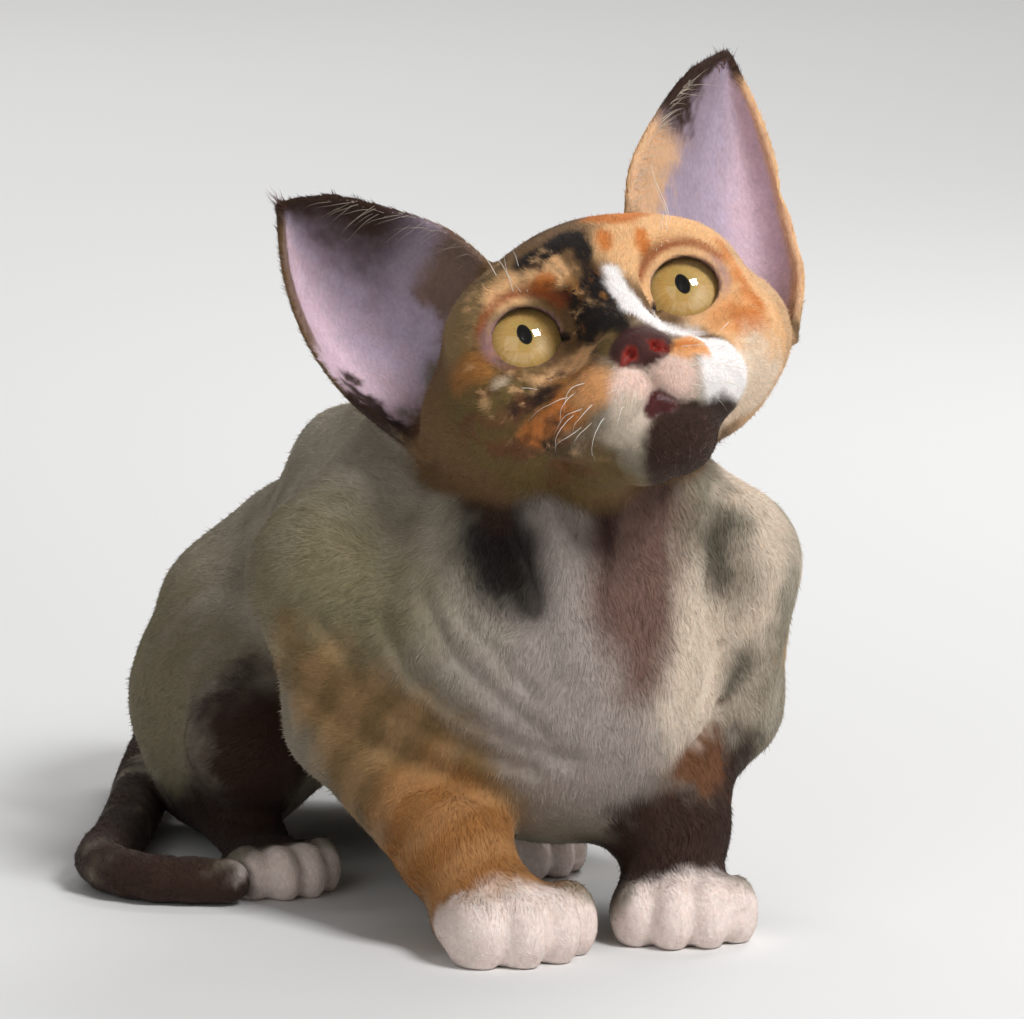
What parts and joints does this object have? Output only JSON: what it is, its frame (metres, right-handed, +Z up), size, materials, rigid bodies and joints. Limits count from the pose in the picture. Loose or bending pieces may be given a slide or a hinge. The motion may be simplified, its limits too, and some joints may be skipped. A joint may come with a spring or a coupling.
{
  "type": "devon rex cat",
  "caption": "Young devon rex cat, life size, crouched with its head raised and tilted, large ears and a tail curled round one haunch.",
  "frame": {"origin": "middle of the bounding box, on the floor under the paws", "axes": "+Z up, -Y the way the chest faces, +X the cat's left side"},
  "size_m": [0.1412, 0.2162, 0.1742],
  "materials": {
    "coat_face": "short orange, white and black fur",
    "coat_ear": "nearly bare skin inside, short brown fur on the rim",
    "coat_grey": "short suede-like grey and cream fur",
    "coat_orange": "short orange fur",
    "coat_dark": "short dark brown fur",
    "coat_white": "short white fur",
    "nose_leather": "moist matt",
    "eye": "wet clear cornea over a golden iris"
  },
  "bodies": {
    "root": {"nose": "nose_leather", "face": "coat_face", "head": "coat_face", "ear_right": "coat_ear", "ear_left": "coat_ear", "eye_right": "eye", "eye_left": "eye", "neck": "coat_grey", "chest": "coat_grey", "belly": "coat_grey", "rump": "coat_grey", "upper_arm_right": "coat_grey", "upper_arm_left": "coat_grey", "forearm_right": "coat_orange", "forearm_left": "coat_dark", "paw_front_right": "coat_white", "paw_front_left": "coat_white", "thigh_right": "coat_grey", "thigh_left": "coat_grey", "foot_hind_right": "coat_dark", "foot_hind_left": "coat_dark", "paw_hind_right": "coat_white", "paw_hind_left": "coat_white", "tail_base": "coat_dark", "tail_middle": "coat_dark", "tail_tip": "coat_dark"}
  },
  "joints": []
}
